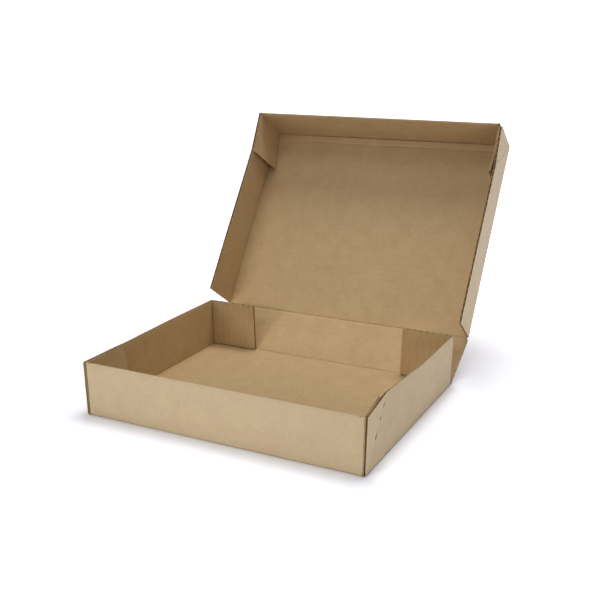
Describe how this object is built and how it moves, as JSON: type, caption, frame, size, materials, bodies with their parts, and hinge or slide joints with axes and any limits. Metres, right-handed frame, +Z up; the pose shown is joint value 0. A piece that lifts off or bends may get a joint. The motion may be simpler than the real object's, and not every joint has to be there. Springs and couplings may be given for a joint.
{
  "type": "postal box",
  "caption": "Shallow brown corrugated postal box with a hinged tray-shaped lid that stands open and closes over the tray.",
  "frame": {"origin": "on the table under the middle of the tray's floor", "axes": "+Z up, front of the tray towards -Y, +X to the right as seen from the front"},
  "size_m": [0.268, 0.3603, 0.2313],
  "materials": {
    "kraft_board": "matte",
    "kraft_board_inside": "matte"
  },
  "bodies": {
    "tray": {"tray": "kraft_board"},
    "back_wall": {"back_wall": "kraft_board"},
    "lid": {"lid": "kraft_board"},
    "rear_flap_left": {"rear_flap_left": "kraft_board_inside"},
    "rear_flap_right": {"rear_flap_right": "kraft_board_inside"}
  },
  "joints": [
    {"name": "back_wall_crease", "type": "hinge", "parent": "tray", "child": "back_wall", "pos_m": [0, 0.1034, 0.0011], "axis": [-1, 0, 0], "range_deg": [-48.5, 40]},
    {"name": "lid_crease", "type": "hinge", "parent": "back_wall", "child": "lid", "pos_m": [0, 0.14055, 0.03397], "axis": [-1, 0, 0], "range_deg": [-75.8, 14.2]},
    {"name": "left_flap_crease", "type": "hinge", "parent": "tray", "child": "rear_flap_left", "pos_m": [-0.1264, 0.1009, 0.0245], "axis": [0, 0, -1], "range_deg": [0, 85]},
    {"name": "right_flap_crease", "type": "hinge", "parent": "tray", "child": "rear_flap_right", "pos_m": [0.1264, 0.1009, 0.0245], "axis": [0, 0, 1], "range_deg": [0, 85]}
  ]
}
